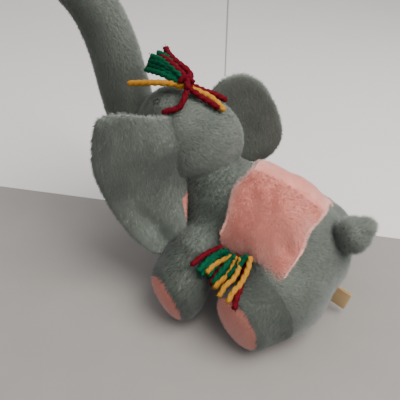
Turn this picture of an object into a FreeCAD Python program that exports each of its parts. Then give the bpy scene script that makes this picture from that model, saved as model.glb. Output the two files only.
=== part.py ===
"""A stuffed elephant that sits with its legs spread and its trunk raised.

The frame: +Z up, the elephant faces -Y, its left side is +X, and the origin is on the table
in the middle of the flat patch that its belly rests on. All sizes are millimetres.

Each soft piece is a simple closed solid of its true outer size: a sewn cover is a shell, its
filling is the solid inside it, and limbs turn in round hollows that leave room for the swing.
"""

import FreeCAD, Part
import math
import os

Vector = FreeCAD.Vector
Rotation = FreeCAD.Rotation
Placement = FreeCAD.Placement
UP = Vector(0, 0, 1)

# ---------------------------------------------------------------- driving dimensions
DIMS = {
    # cloth and clearances
    "cover_wall": 2.4,  # knitted backing with its pressed pile
    "fit_gap": 0.15,  # between two pieces of one body
    "swing_gap": 0.6,  # between two bodies that move against each other
    # torso
    "torso_length": 164, "torso_width": 108, "torso_height": 112, "torso_pitch": 12,
    "torso_mid_y": -13, "torso_mid_z": 56,
    "chest_length": 72, "chest_width": 78, "chest_height": 84,
    "chest_mid_y": -67, "chest_mid_z": 74,
    "haunch_size": 74, "haunch_mid_x": 36, "haunch_mid_y": 27, "haunch_mid_z": 36.6,
    "belly_panel_width": 44, "belly_panel_height": 34,
    "neck_ball": 33, "neck_y": -83, "neck_z": 94,
    # head, turned a little towards the right
    "head_turn": 15, "head_length": 98, "head_width": 86, "head_height": 86, "head_pitch": 25,
    "head_mid_x": -2, "head_mid_y": -107, "head_mid_z": 123,
    "nod_back": 4, "nod_down": 14,
    # trunk
    "trunk_ball": 25.5, "trunk_tip": 19, "trunk_swing": 12,
    # ears
    "ear_thickness": 15, "ear_swing": 15, "ear_sewn_in": 9,
    "ear_left_width": 84, "ear_left_height": 118, "ear_right_width": 84, "ear_right_height": 117,
    # legs
    "leg_swing": 12,
    "hind_ball": 28.5, "hind_foot": 27.5, "hind_reach": 40,
    "front_ball": 26, "front_foot": 26.6, "front_reach": 48,
    "foot_round": 15, "sole_wall": 2.2,
    "hind_sole": 22, "front_sole": 21,
    # tail
    "tail_length": 38, "tail_width": 27, "tail_swing": 18,
    # saddle blanket
    "saddle_cloth": 3, "saddle_length": 70, "saddle_drop": 62,
    "saddle_mid_y": 1, "saddle_corner": 12,
    # yarn
    "tassel_length": 42, "tassel_width": 44, "tassel_thickness": 9, "tassel_lean": 8,
    "tuft_knot": 6.5, "tuft_width": 15, "tuft_back": 5.2,
    # eyes
    "eye_size": 9, "eye_stem": 3, "eye_stem_length": 9, "eye_washer": 14, "eye_washer_wall": 1.6,
    # care tag
    "tag_width": 20, "tag_length": 27, "tag_wall": 0.8, "tag_start_y": 57, "tag_low_z": 8, "tag_lift": 4,
}

doc = FreeCAD.newDocument("stuffed_elephant")
sheet = doc.addObject("Spreadsheet::Sheet", "dims")
for row, (alias, number) in enumerate(DIMS.items(), start=1):
    sheet.set(f"A{row}", alias)
    sheet.set(f"B{row}", str(number))
    sheet.setAlias(f"B{row}", alias)
doc.recompute()

PARTS = []
BIG = 400


def size(alias):
    return float(sheet.get(alias))


# ---------------------------------------------------------------- building blocks
def number(inset):
    """The value of an inset, which is a sum of sheet values, or 0 - (a sum) for growth."""
    sign = -1 if inset.startswith("0 - ") else 1
    terms = inset.removeprefix("0 - ").strip("()").replace("dims.", "").split(" + ")
    return sign * sum(size(term) if term in DIMS else float(term) for term in terms)


def egg(name, length, width, height, place, inset="0"):
    """An ellipsoid whose length runs along its own Y, smaller all round by inset.

    It is built as a front and a rear half, so that no face closes on itself: holes cut near a
    closed face's own seam are lost when the piece is saved.
    """
    turns = {"rear": Rotation(), "front": Rotation(UP, 180)}
    return fuse(name, [half_egg(f"{name}_{end}", length, width, height, place, turn, inset)
                       for end, turn in turns.items()])


def half_egg(name, length, width, height, place, turn, inset):
    o = doc.addObject("Part::Ellipsoid", name)
    o.setExpression("Radius1", f"{height} / 2 - ({inset})")
    o.setExpression("Radius2", f"{width} / 2 - ({inset})")
    o.setExpression("Radius3", f"{length} / 2 - ({inset})")
    o.Angle1, o.Angle2, o.Angle3 = -90, 90, 180
    o.Placement = Placement(place.Base, place.Rotation * turn)
    return o


def ball(name, radius, centre, inset="0"):
    o = doc.addObject("Part::Sphere", name)
    o.setExpression("Radius", f"{radius} - ({inset})")
    o.Placement = Placement(centre, BALL_SPIN)
    return o


def cone(name, start_radius, end_radius, length, place):
    o = doc.addObject("Part::Cone", name)
    o.setExpression("Radius1", start_radius)
    o.setExpression("Radius2", end_radius)
    o.setExpression("Height", length)
    o.Placement = place
    return o


def disc(name, radius, length, place):
    o = doc.addObject("Part::Cylinder", name)
    o.setExpression("Radius", radius)
    o.setExpression("Height", length)
    o.Placement = place
    return o


def box(name, corner, sides, rotation=Rotation()):
    o = doc.addObject("Part::Box", name)
    for prop, value in zip(("Length", "Width", "Height"), sides):
        if isinstance(value, str):
            o.setExpression(prop, value)
        else:
            setattr(o, prop, value)
    o.Placement = Placement(corner, rotation)
    return o


def fuse(name, pieces):
    o = doc.addObject("Part::MultiFuse", name)
    o.Shapes, o.Refine = pieces, False
    return o


def cut(name, base, tool):
    o = doc.addObject("Part::Cut", name)
    o.Base, o.Tool = base, tool
    return o


def common(name, first, second):
    o = doc.addObject("Part::MultiCommon", name)
    o.Shapes = [first, second]
    return o


def part(o, label):
    """Marks an object as a sub-part: its label is its node and its file."""
    o.Label = label
    PARTS.append(o)
    return o


def along(start, direction):
    """A placement at start whose own Z points along direction."""
    return Placement(start, Rotation(Vector(0, 0, 1), direction))


def turned(shape_object, name, pivot, axis, degrees):
    """A copy of an object turned about a joint's axis, for cutting room for its swing."""
    o = doc.addObject("Part::Compound", name)
    o.Links = [shape_object]
    o.Placement = Placement(Vector(), Rotation(axis, degrees), pivot)
    return o


BALL_SPIN = Rotation(Vector(1, 2, 0), 35)  # keeps a ball's own seam off its neighbours' edges
WALL = "dims.cover_wall"
FILLING = "dims.cover_wall + dims.fit_gap"
GROWN = "0 - dims.swing_gap"

# ---------------------------------------------------------------- joint places and directions
SIDES = {"left": 1, "right": -1}
neck = Vector(0, size("neck_y"), size("neck_z"))
head_turn = Rotation(UP, -size("head_turn"))
head_middle = Vector(size("head_mid_x"), size("head_mid_y"), size("head_mid_z"))
head_place = Placement(head_middle, head_turn * Rotation(Vector(1, 0, 0), -size("head_pitch")))
nod_axis = head_turn.multVec(Vector(1, 0, 0))

HIND_SOLE = Vector(95, 6, 25)
HIND_WAY = Vector(0.9, -0.36, -0.2).normalize()
FRONT_SOLE = Vector(97, -62, 22.5)
FRONT_WAY = Vector(0.84, -0.44, -0.32).normalize()
TAIL_ROOT = Vector(0, 59, 83)
TAIL_WAY = Vector(0, 0.86, 0.5).normalize()
TRUNK_WAY = (Vector(-10, -153, 114), Vector(-10, -174, 122), Vector(-10, -185, 150),
             Vector(-8, -195, 184), Vector(-4, -211, 216), Vector(3, -234, 240))


def leg_frame(kind, side):
    """The pivot of a leg and the direction from it to the middle of its sole."""
    sole, way = (HIND_SOLE, HIND_WAY) if kind == "hind" else (FRONT_SOLE, FRONT_WAY)
    pivot = sole - way * size(f"{kind}_reach")
    if side == "right":
        pivot, way = Vector(-pivot.x, pivot.y, pivot.z), Vector(-way.x, way.y, way.z)
    return pivot, way


# ---------------------------------------------------------------- head form, needed by the torso
def head_form(name, inset="0"):
    return egg(name, "dims.head_length", "dims.head_width", "dims.head_height", head_place, inset)


# ---------------------------------------------------------------- torso
torso_tilt = Rotation(Vector(1, 0, 0), -size("torso_pitch"))
torso_place = Placement(Vector(0, size("torso_mid_y"), size("torso_mid_z")), torso_tilt)
chest_place = Placement(Vector(0, size("chest_mid_y"), size("chest_mid_z")), Rotation())


def torso_form(name, inset="0"):
    """The whole body with its haunches, standing on the table, without its hollows."""
    pieces = [
        egg(name + "_barrel", "dims.torso_length", "dims.torso_width", "dims.torso_height",
            torso_place, inset),
        egg(name + "_chest", "dims.chest_length", "dims.chest_width", "dims.chest_height",
            chest_place, inset),
        ball(name + "_neck", "dims.neck_ball", neck, inset),
    ]
    for side, sign in SIDES.items():
        middle = Vector(sign * size("haunch_mid_x"), size("haunch_mid_y"), size("haunch_mid_z"))
        pieces.append(ball(f"{name}_haunch_{side}", "dims.haunch_size / 2", middle, inset))
    table_top = max(number(inset), 0)
    table = box(name + "_table", Vector(-BIG / 2, -BIG / 2, table_top - BIG), (BIG, BIG, BIG))
    return cut(name, fuse(name + "_all", pieces), table)


def leg_hollow(name, kind, side, outset="0"):
    """The round hollow that a leg's ball turns in, with a mouth as wide as its swing."""
    pivot, way = leg_frame(kind, side)
    radius = f"dims.{kind}_ball + dims.swing_gap + {outset}"
    mouth_radius = f"dims.{kind}_ball + 2 * dims.swing_gap + {outset}"
    spread = f"{mouth_radius} + {BIG / 4} * tan(dims.leg_swing * 1deg)"
    return fuse(name, [
        ball(name + "_ball", radius, pivot),
        cone(name + "_mouth", mouth_radius, spread, str(BIG / 4), along(pivot, way)),
    ])


def tail_hollow(name, outset="0"):
    return ball(name, f"dims.tail_width / 2 + dims.swing_gap + {outset}", TAIL_ROOT)


def head_hollow(name, outset="0"):
    """Room in the torso for the head at rest and at both ends of its nod."""
    grow = f"0 - dims.swing_gap - ({outset})"
    copies = []
    for k, degrees in enumerate((-size("nod_back"), 0, size("nod_down"))):
        copies.append(turned(head_form(f"{name}_head_{k}", grow), f"{name}_turn_{k}", neck,
                             nod_axis, degrees))
    keep = ball(name + "_keep", "dims.neck_ball", neck, outset)
    return cut(name, fuse(name + "_heads", copies), keep)


def torso_hollows(name, outset="0"):
    tools = [leg_hollow(f"{name}_{kind}_{side}", kind, side, outset)
             for kind in ("hind", "front") for side in SIDES]
    tools.append(tail_hollow(name + "_tail", outset))
    tools.append(head_hollow(name + "_head", outset))
    return fuse(name, tools)


torso_outer = cut("torso_outer", torso_form("torso_skin"), torso_hollows("torso_rooms"))
torso_inner = cut("torso_inner", torso_form("torso_inside", WALL),
                  torso_hollows("torso_inner_rooms", WALL))
torso_core = cut("torso_core", torso_form("torso_fill", FILLING),
                 torso_hollows("torso_fill_rooms", FILLING))
torso_shell = cut("torso_shell", torso_outer, torso_inner)

belly_width = size("belly_panel_width")
belly_height = size("belly_panel_height")
belly_zone = box("belly_zone", Vector(-belly_width / 2, -BIG / 2, -BIG + belly_height),
                 ("dims.belly_panel_width", BIG, BIG))
gap = size("fit_gap")
belly_cut = box("belly_cut", Vector(-belly_width / 2 - gap, -BIG / 2, -BIG + belly_height + gap),
                ("dims.belly_panel_width + 2 * dims.fit_gap", BIG, BIG))
part(common("belly_panel", torso_shell, belly_zone), "torso_cover_belly")
torso_sides = cut("torso_sides", torso_shell, belly_cut)
for side, sign in SIDES.items():
    half = box(f"torso_half_{side}", Vector(gap / 2 if sign > 0 else -BIG - gap / 2, -BIG / 2, -10),
               (BIG, BIG, BIG))
    part(common(f"torso_{side}", torso_sides, half), f"torso_cover_{side}")
part(torso_core, "torso_stuffing")


# ---------------------------------------------------------------- sewn covers with their filling
def sewn(name, form, opening=None):
    """A closed cover and the filling inside it, from a form that takes a name and an inset."""
    shell = cut(name + "_shell", form(name + "_outer", "0"), form(name + "_inner", WALL))
    if opening:
        shell = cut(name + "_open", shell, opening)
    return shell, form(name + "_core", FILLING)


def halves(base, name, label, place):
    """Two panels of a cover, split at the seam that runs along the middle of the given place."""
    for side, sign in SIDES.items():
        near = size("fit_gap") / 2 if sign > 0 else -BIG - size("fit_gap") / 2
        corner = place.multVec(Vector(near, -BIG / 2, -BIG / 2))
        half = box(f"{name}_half_{side}", corner, (BIG, BIG, BIG), place.Rotation)
        part(common(f"{name}_{side}", base, half), f"{label}_{side}")


# ---------------------------------------------------------------- legs
def leg_form(kind, side):
    def form(name, inset):
        pivot, way = leg_frame(kind, side)
        foot = pivot + way * (size(f"{kind}_reach") - size("foot_round"))
        thigh = cone(name + "_thigh", f"dims.{kind}_ball - ({inset}) - dims.fit_gap",
                     f"dims.{kind}_foot - ({inset}) - dims.fit_gap",
                     f"dims.{kind}_reach - dims.foot_round", along(pivot, way))
        whole = fuse(name + "_whole", [ball(name + "_hip", f"dims.{kind}_ball", pivot, inset), thigh,
                                       ball(name + "_foot", f"dims.{kind}_foot", foot, inset)])
        flat = along(pivot + way * (size(f"{kind}_reach") - number(inset)), way)
        return cut(name, whole, disc(name + "_flat", f"2 * dims.{kind}_ball", "dims.hind_ball", flat))
    return form


def leg(kind, side):
    """A leg in its own frame: cover, filling, and the pink sole let into the end of the cover."""
    name = f"{kind}_leg_{side}"
    pivot, way = leg_frame(kind, side)
    end = size(f"{kind}_reach")
    opening = disc(name + "_mouth", f"dims.{kind}_sole + dims.fit_gap", "4 * dims.cover_wall",
                   along(pivot + way * (end - 2 * size("cover_wall")), way))
    cover, filling = sewn(name, leg_form(kind, side), opening)
    part(cover, name + "_cover")
    part(filling, name + "_stuffing")
    sole = disc(name + "_sole", f"dims.{kind}_sole", "dims.sole_wall",
                along(pivot + way * (end - size("sole_wall")), way))
    part(sole, name + "_sole")


for kind in ("front", "hind"):
    for side in SIDES:
        leg(kind, side)


# ---------------------------------------------------------------- head
TRUNK_ROOT = TRUNK_WAY[0]
trunk_out = (TRUNK_WAY[1] - TRUNK_WAY[0]).normalize()


def trunk_hollow(name, outset):
    mouth = f"dims.trunk_ball + 2 * dims.swing_gap + {outset}"
    return fuse(name, [
        ball(name + "_ball", f"dims.trunk_ball + dims.swing_gap + {outset}", TRUNK_ROOT),
        cone(name + "_mouth", mouth, f"{mouth} + {BIG / 8} * tan(dims.trunk_swing * 1deg)",
             str(BIG / 8), along(TRUNK_ROOT, trunk_out)),
    ])


def head_solid(name, inset):
    """The head without the hollows for the neck ball and the trunk."""
    rooms = fuse(name + "_rooms", [
        ball(name + "_neck", f"dims.neck_ball + dims.swing_gap + {inset}", neck),
        trunk_hollow(name + "_trunk", inset),
    ])
    return cut(name, head_form(name + "_egg", inset), rooms)


EYE_WAY = Vector(0.56, -0.6, 0.57)  # where the left eye is, in the head's own frame


def eye_place(sign):
    """The middle of an eye on the head's surface, with its Z pointing out of the head."""
    way = Vector(sign * EYE_WAY.x, EYE_WAY.y, EYE_WAY.z).normalize()
    half = Vector(size("head_width") / 2, size("head_length") / 2, size("head_height") / 2)
    spot = Vector(way.x * half.x, way.y * half.y, way.z * half.z)
    out = Vector(way.x / half.x, way.y / half.y, way.z / half.z).normalize()
    return along(head_place.multVec(spot), head_place.Rotation.multVec(out))


def eye_axis_disc(name, radius, start, length, sign):
    """A disc on the eye's own axis, from start to start + length, outwards being positive."""
    place = eye_place(sign)
    out = place.Rotation.multVec(UP)
    return disc(name, radius, length, along(place.Base + out * start, out))


def eye_room(name, sign):
    """Room in the cover and the filling for an eye's stem and its washer."""
    depth = size("eye_stem_length")
    back = -size("cover_wall") - size("eye_washer_wall") - 3 * size("fit_gap")
    return fuse(name, [
        eye_axis_disc(name + "_stem", "dims.eye_stem / 2 + dims.fit_gap", -depth,
                      "1.5 * dims.eye_stem_length", sign),
        eye_axis_disc(name + "_washer", "dims.eye_washer / 2 + dims.fit_gap", back,
                      "dims.eye_washer_wall + 2 * dims.fit_gap", sign),
        eye_axis_disc(name + "_end", "dims.eye_stem / 2 + 2 * dims.fit_gap", -depth,
                      "dims.eye_stem_length", sign),
    ])


def eye(side, sign):
    """A safety eye: a dome with a stem through the cover, held by a washer behind it."""
    gap, wall = size("fit_gap"), size("cover_wall")
    dome = ball(f"eye_{side}_ball", "dims.eye_size / 2", eye_place(sign).Base)
    behind = eye_axis_disc(f"eye_{side}_behind", "dims.eye_size", gap - size("eye_size"),
                           "dims.eye_size", sign)
    stem = eye_axis_disc(f"eye_{side}_stem", "dims.eye_stem / 2", 2 * gap - size("eye_stem_length"),
                         "dims.eye_stem_length", sign)
    part(fuse(f"eye_{side}", [cut(f"eye_{side}_dome", dome, behind), stem]), f"eye_{side}")
    start = -wall - size("eye_washer_wall") - 2 * gap
    washer = eye_axis_disc(f"washer_{side}_disc", "dims.eye_washer / 2", start,
                           "dims.eye_washer_wall", sign)
    hole = eye_axis_disc(f"washer_{side}_hole", "dims.eye_stem / 2 + dims.fit_gap / 2", start - 1,
                         "dims.eye_washer_wall + 2", sign)
    part(cut(f"washer_{side}", washer, hole), f"eye_washer_{side}")


head_shell, head_filling = sewn("head", head_solid)
eye_rooms = fuse("eye_rooms", [eye_room(f"eye_room_{side}", sign) for side, sign in SIDES.items()])
halves(cut("head_cover", head_shell, eye_rooms), "head_cover", "head_cover", head_place)
part(cut("head_stuffing", head_filling, eye_rooms), "head_stuffing")
for side, sign in SIDES.items():
    eye(side, sign)


# ---------------------------------------------------------------- trunk
def trunk_form(name, inset):
    """A ball in the head, then a tube that narrows to a round tip along the trunk's way."""
    rings = []
    last = len(TRUNK_WAY) - 1
    for k, centre in enumerate(TRUNK_WAY):
        before, after = TRUNK_WAY[max(k - 1, 0)], TRUNK_WAY[min(k + 1, last)]
        ring = doc.addObject("Part::Circle", f"{name}_ring_{k}")
        taper = f"(dims.trunk_tip - dims.trunk_ball) * {k} / {last}"
        ring.setExpression("Radius", f"dims.trunk_ball + {taper} - ({inset}) - dims.fit_gap")
        ring.Placement = along(centre, after - before)
        rings.append(ring)
    tube = doc.addObject("Part::Loft", name + "_tube")
    tube.Sections, tube.Solid, tube.Ruled = rings, True, False
    return fuse(name, [ball(name + "_root", "dims.trunk_ball", TRUNK_ROOT, inset), tube,
                       ball(name + "_tip", "dims.trunk_tip", TRUNK_WAY[-1], inset)])


trunk_cover, trunk_filling = sewn("trunk", trunk_form)
part(trunk_cover, "trunk_cover")
part(trunk_filling, "trunk_stuffing")


# ---------------------------------------------------------------- ears
EARS = {
    "left": {"middle": Vector(73, -107, 110), "sweep": -28, "lean": 12, "pitch": 8},
    "right": {"middle": Vector(-64, -75, 122), "sweep": -42, "lean": 34, "pitch": 0},
}


def ear_place(side):
    turns = EARS[side]
    spin = (Rotation(UP, turns["sweep"]) * Rotation(Vector(0, 1, 0), turns["lean"])
            * Rotation(Vector(1, 0, 0), turns["pitch"]))
    return Placement(turns["middle"], spin)


def ear_hinge(side):
    """A point on the line where an ear is sewn to the head, and that line's direction."""
    place = ear_place(side)
    inwards = -SIDES[side] * (size(f"ear_{side}_width") / 2 - size("ear_sewn_in"))
    return place.multVec(Vector(inwards, 0, 0)), place.Rotation.multVec(UP)


def ear_form(side):
    def form(name, inset):
        return egg(name, "dims.ear_thickness", f"dims.ear_{side}_width", f"dims.ear_{side}_height",
                   ear_place(side), inset)
    return form


def ear(side):
    """An ear sewn from a grey back and a pink lining, with a thin pad between them."""
    name = f"ear_{side}"
    place = ear_place(side)
    pivot, axis = ear_hinge(side)
    heads = []
    for k, degrees in enumerate((-size("ear_swing"), 0, size("ear_swing"))):
        skin = head_form(f"{name}_head_{k}", GROWN)
        heads.append(turned(skin, f"{name}_turn_{k}", pivot, axis, degrees))
    cover, pad = sewn(name, ear_form(side))
    room = fuse(name + "_room", heads)
    cover = cut(name + "_cover", cover, room)
    for label, near in (("back", size("fit_gap") / 2), ("lining", -BIG - size("fit_gap") / 2)):
        corner = place.multVec(Vector(-BIG / 2, near, -BIG / 2))
        half = box(f"{name}_{label}_half", corner, (BIG, BIG, BIG), place.Rotation)
        part(common(f"{name}_{label}", cover, half), f"{name}_{label}")
    part(cut(name + "_padding", pad, room), f"{name}_padding")


for side in SIDES:
    ear(side)


# ---------------------------------------------------------------- tail
def tail_form(name, inset):
    reach = size("tail_length") - size("tail_width")
    radius = "dims.tail_width / 2"
    return fuse(name, [
        ball(name + "_root", radius, TAIL_ROOT, inset),
        disc(name + "_middle", f"{radius} - ({inset}) - dims.fit_gap", "dims.tail_length - dims.tail_width",
             along(TAIL_ROOT, TAIL_WAY)),
        ball(name + "_end", radius, TAIL_ROOT + TAIL_WAY * reach, inset),
    ])


tail_cover, tail_filling = sewn("tail", tail_form)
part(tail_cover, "tail_cover")
part(tail_filling, "tail_stuffing")


# ---------------------------------------------------------------- saddle blanket
def saddle():
    """Pink cloth over the back: a layer on the torso, cut to a band with rounded lower corners."""
    length, corner = size("saddle_length"), size("saddle_corner")
    spine = size("torso_mid_z") + size("torso_height") / 2
    low = spine - size("saddle_drop")
    place = Placement(Vector(0, size("saddle_mid_y"), spine), torso_tilt)
    rows = []
    for name, start, wide in (("band", low + corner, length), ("hem", low, length - 2 * corner)):
        start_point = place.multVec(Vector(-BIG / 2, -wide / 2, start - spine))
        tall = spine - start + 2 * corner
        rows.append(box(f"saddle_{name}_box", start_point, (BIG, wide, tall), torso_tilt))
    for k, sign in enumerate((-1, 1)):
        centre = place.multVec(Vector(-BIG / 2, sign * (length / 2 - corner), low + corner - spine))
        rows.append(disc(f"saddle_corner_{k}", "dims.saddle_corner", str(BIG),
                         along(centre, Vector(1, 0, 0))))
    top = torso_form("saddle_top", "0 - (dims.fit_gap + dims.saddle_cloth)")
    band = common("saddle_band", top, fuse("saddle_zone", rows))
    layer = cut("saddle_layer", band, torso_form("saddle_under", "0 - dims.fit_gap"))
    rooms = [ball(f"saddle_{kind}_{side}_room", f"dims.{kind}_ball + 2 * dims.swing_gap",
                  leg_frame(kind, side)[0]) for kind in ("hind", "front") for side in SIDES]
    return cut("saddle", layer, fuse("saddle_rooms", rooms))


part(saddle(), "saddle_blanket")


# ---------------------------------------------------------------- yarn
TASSEL_MIDDLE = Vector(80, -13, 67)


def tassel(side, sign):
    """A flat bunch of yarn that lies over the legs from under the blanket's lower edge."""
    place = Placement(Vector(sign * TASSEL_MIDDLE.x, TASSEL_MIDDLE.y, TASSEL_MIDDLE.z),
                      Rotation(Vector(0, 1, 0), sign * size("tassel_lean")))
    return egg(f"tassel_{side}", "dims.tassel_width", "dims.tassel_length",
               "dims.tassel_thickness", place)


for side, sign in SIDES.items():
    part(tassel(side, sign), f"saddle_tassel_{side}")

TUFT_KNOT = Vector(3, -104, 172)
TUFT_FRONT = Vector(-3, -147, 181)
TUFT_BACK = Vector(-12, -76, 158)


def tuft():
    """The yarn bow on top of the head: a knot, a thick front bunch and a thin back bunch."""
    pieces = [ball("tuft_knot", "dims.tuft_knot", TUFT_KNOT)]
    ends = {"front": (TUFT_FRONT, "dims.tuft_width / 2"), "back": (TUFT_BACK, "dims.tuft_back")}
    for name, (end, radius) in ends.items():
        way = end - TUFT_KNOT
        pieces.append(cone(f"tuft_{name}", "dims.tuft_back", f"{radius} - dims.fit_gap",
                           str(way.Length), along(TUFT_KNOT, way)))
        pieces.append(ball(f"tuft_{name}_end", radius, end))
    return cut("tuft", fuse("tuft_all", pieces), head_form("tuft_head", "0 - dims.fit_gap"))


part(tuft(), "head_yarn_bow")


# ---------------------------------------------------------------- care tag
def tag():
    """A woven loop sewn into the seam at the back, below the tail."""
    place = Placement(Vector(-size("tag_wall") / 2, size("tag_start_y"), size("tag_low_z")),
                      Rotation(Vector(1, 0, 0), size("tag_lift")))
    flat = box("tag_flat", place.Base, ("dims.tag_wall", "dims.tag_length", "dims.tag_width"),
               place.Rotation)
    return cut("tag", flat, torso_form("tag_torso", GROWN))


part(tag(), "care_tag")


# ---------------------------------------------------------------- checks and export
def export():
    doc.recompute()
    for o in doc.Objects:
        if "Invalid" in o.State or "Error" in o.State:
            raise RuntimeError(f"{o.Name} failed: {o.State}")
    os.makedirs("parts", exist_ok=True)
    for o in PARTS:
        if o.Shape.isNull() or not o.Shape.isValid():
            raise RuntimeError(f"{o.Label} has no valid shape")
        o.Shape.exportStep(f"parts/{o.Label}.step")
        print(f"{o.Label}: {len(o.Shape.Solids)} solid(s), {o.Shape.Volume / 1000:.1f} cm3")


export()
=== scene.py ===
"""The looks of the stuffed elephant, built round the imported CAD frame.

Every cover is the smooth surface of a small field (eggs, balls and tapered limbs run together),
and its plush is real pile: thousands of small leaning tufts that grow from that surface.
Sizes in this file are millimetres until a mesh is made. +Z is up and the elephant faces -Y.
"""

import math

import bpy
import numpy as np
from mathutils import Matrix, Vector


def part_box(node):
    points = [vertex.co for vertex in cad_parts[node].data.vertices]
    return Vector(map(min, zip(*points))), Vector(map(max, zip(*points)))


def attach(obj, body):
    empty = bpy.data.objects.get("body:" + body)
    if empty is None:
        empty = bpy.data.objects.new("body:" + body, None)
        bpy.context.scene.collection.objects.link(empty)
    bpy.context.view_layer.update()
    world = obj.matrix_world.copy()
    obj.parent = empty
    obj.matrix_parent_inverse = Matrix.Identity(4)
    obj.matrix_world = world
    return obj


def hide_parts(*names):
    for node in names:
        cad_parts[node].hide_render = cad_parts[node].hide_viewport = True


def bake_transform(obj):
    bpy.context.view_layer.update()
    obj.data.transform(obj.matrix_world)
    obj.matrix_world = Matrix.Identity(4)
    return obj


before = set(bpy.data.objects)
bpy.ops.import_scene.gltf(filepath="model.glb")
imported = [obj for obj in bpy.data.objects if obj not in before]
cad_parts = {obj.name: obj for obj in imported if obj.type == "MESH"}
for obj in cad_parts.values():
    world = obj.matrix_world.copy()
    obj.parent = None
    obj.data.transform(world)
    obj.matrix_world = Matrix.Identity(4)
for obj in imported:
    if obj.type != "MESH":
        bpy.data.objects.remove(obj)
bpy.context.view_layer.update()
MM = 0.001


# ---------------------------------------------------------------- small maths
def unit(v):
    v = np.asarray(v, float)
    return v / np.maximum(np.linalg.norm(v, axis=-1, keepdims=True), 1e-9)


def spin(axis, degrees):
    """A rotation matrix about one of the row frame's axes."""
    return np.array(Matrix.Rotation(math.radians(degrees), 3, axis))


def smoothstep(x, start, end):
    t = np.clip((x - start) / (end - start), 0, 1)
    return t * t * (3 - 2 * t)


def noise(p, wavelength, seed=0, octaves=2):
    """Smooth wavy noise from about -1 to 1, from a few seeded plane waves."""
    rng = np.random.default_rng(seed)
    total = np.zeros(len(p))
    weight = 0
    for octave in range(octaves):
        for _ in range(7):
            way = unit(rng.normal(size=3)) * 2 * math.pi / wavelength * 2**octave * rng.uniform(0.7, 1.3)
            total += np.sin(p @ way + rng.uniform(0, 6.3)) * 0.5**octave
        weight += 7 * 0.5 ** (2 * octave) / 2
    return total / math.sqrt(weight) / 2


# ---------------------------------------------------------------- fields: below zero is inside
def egg(p, centre, semi, turn=np.eye(3)):
    q = (p - centre) @ turn / semi
    k0 = np.linalg.norm(q, axis=1)
    k1 = np.linalg.norm(q / semi, axis=1)
    return k0 * (k0 - 1) / np.maximum(k1, 1e-9)


def limb(p, a, b, ra, rb):
    """A tapered limb with round ends, from radius ra at a to radius rb at b."""
    a, b = np.asarray(a, float), np.asarray(b, float)
    way = b - a
    t = np.clip((p - a) @ way / (way @ way), 0, 1)
    return np.linalg.norm(p - a - t[:, None] * way, axis=1) - (ra + (rb - ra) * t)


def join(f, g, round_over):
    """The union of two fields with a fillet between them."""
    h = np.clip(0.5 + 0.5 * (g - f) / round_over, 0, 1)
    return g * (1 - h) + f * h - round_over * h * (1 - h)


def trim(f, g, round_over):
    """The part of f inside g, with a rounded edge."""
    return -join(-f, -g, round_over)


def slope(field, p, step=0.3):
    out = np.zeros_like(p)
    for k in range(3):
        shift = np.zeros(3)
        shift[k] = step
        out[:, k] = (field(p + shift) - field(p - shift)) / (2 * step)
    return out


def surface(field, low, high, step):
    """Vertices and quads of a field's zero surface: one vertex in each crossed cell of a grid."""
    low, high = np.asarray(low, float), np.asarray(high, float)
    counts = np.ceil((high - low) / step).astype(int) + 1
    grid = np.stack(np.meshgrid(*[low[k] + step * np.arange(counts[k]) for k in range(3)],
                                indexing="ij"), -1)
    f = field(grid.reshape(-1, 3)).reshape(counts)
    total = np.zeros(tuple(counts - 1) + (3,))
    hits = np.zeros(tuple(counts - 1))
    crossings = []
    for axis in range(3):
        first = [slice(None)] * 3
        second = [slice(None)] * 3
        first[axis] = slice(0, -1)
        second[axis] = slice(1, None)
        a, b = f[tuple(first)], f[tuple(second)]
        i = np.argwhere((a < 0) != (b < 0))
        others = [k for k in range(3) if k != axis]
        i = i[np.all([(i[:, k] > 0) & (i[:, k] < counts[k] - 1) for k in others], axis=0)]
        fa, fb = a[tuple(i.T)], b[tuple(i.T)]
        spot = grid[tuple(i.T)].copy()
        spot[:, axis] += step * fa / (fa - fb)
        cells = []
        for du, dv in ((0, 0), (-1, 0), (-1, -1), (0, -1)):
            cell = i.copy()
            cell[:, others[0]] += du
            cell[:, others[1]] += dv
            np.add.at(total, tuple(cell.T), spot)
            np.add.at(hits, tuple(cell.T), 1)
            cells.append(cell)
        crossings.append((cells, (fa < 0) != (axis == 1)))
    used = hits > 0
    index = -np.ones(used.shape, int)
    index[used] = np.arange(used.sum())
    points = total[used] / hits[used][:, None]
    faces = []
    for cells, outward in crossings:
        quad = np.stack([index[tuple(c.T)] for c in cells], 1)
        quad[~outward] = quad[~outward][:, ::-1]
        faces.append(quad)
    for _ in range(3):
        g = slope(field, points)
        points -= g * (field(points) / np.maximum((g * g).sum(1), 1e-6))[:, None]
    return points, np.concatenate(faces)


def keep_faces(points, faces, wanted):
    """The part of a mesh whose faces are wanted, with its own vertices."""
    faces = faces[wanted]
    used = np.unique(faces)
    index = np.zeros(len(points), int)
    index[used] = np.arange(len(used))
    return points[used], index[faces]


def vertex_normals(points, faces):
    a, b, c = points[faces[:, 0]], points[faces[:, 1]], points[faces[:, 2]]
    face_normal = np.cross(b - a, c - a)
    if faces.shape[1] == 4:
        face_normal = np.cross(c - a, points[faces[:, 3]] - b)
    out = np.zeros_like(points)
    for k in range(faces.shape[1]):
        np.add.at(out, faces[:, k], face_normal)
    return unit(out)


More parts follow.
